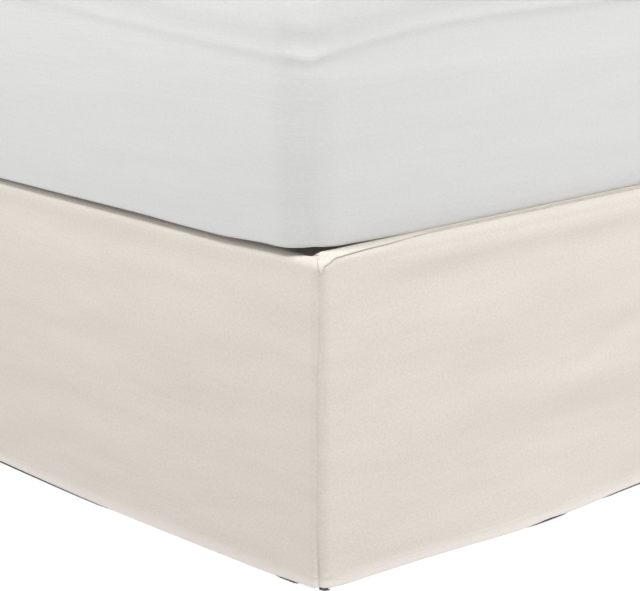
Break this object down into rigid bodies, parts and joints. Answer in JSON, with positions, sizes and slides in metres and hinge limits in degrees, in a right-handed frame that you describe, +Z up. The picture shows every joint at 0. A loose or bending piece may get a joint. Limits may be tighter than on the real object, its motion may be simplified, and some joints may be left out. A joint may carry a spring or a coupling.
{
  "type": "bed skirt on a bed base with mattress",
  "caption": "Tailored bed skirt with flat drops and closed foot corners, lying between a bed base and its mattress.",
  "frame": {"origin": "floor level, under the middle of the bed", "axes": "+Z up, -Y towards the foot of the bed, +X towards the right side as seen from the foot"},
  "size_m": [1.571, 2.0485, 0.7153],
  "materials": {
    "skirt_cloth": "smooth matt ivory plain weave",
    "white_sheet": "matt white percale fitted sheet",
    "spring_cover": "plain woven base cover",
    "frame_metal": "satin black powder coat"
  },
  "bodies": {
    "root": {"deck": "skirt_cloth", "drop_foot": "skirt_cloth", "drop_right": "skirt_cloth", "drop_left": "skirt_cloth", "mattress": "white_sheet", "box_spring": "spring_cover", "rail_left": "frame_metal", "rail_right": "frame_metal", "cross_rail_foot": "frame_metal", "cross_rail_middle": "frame_metal", "cross_rail_head": "frame_metal", "leg_left_foot": "frame_metal", "leg_right_foot": "frame_metal", "leg_left_middle": "frame_metal", "leg_right_middle": "frame_metal", "leg_left_head": "frame_metal", "leg_right_head": "frame_metal", "leg_centre": "frame_metal"}
  },
  "joints": []
}
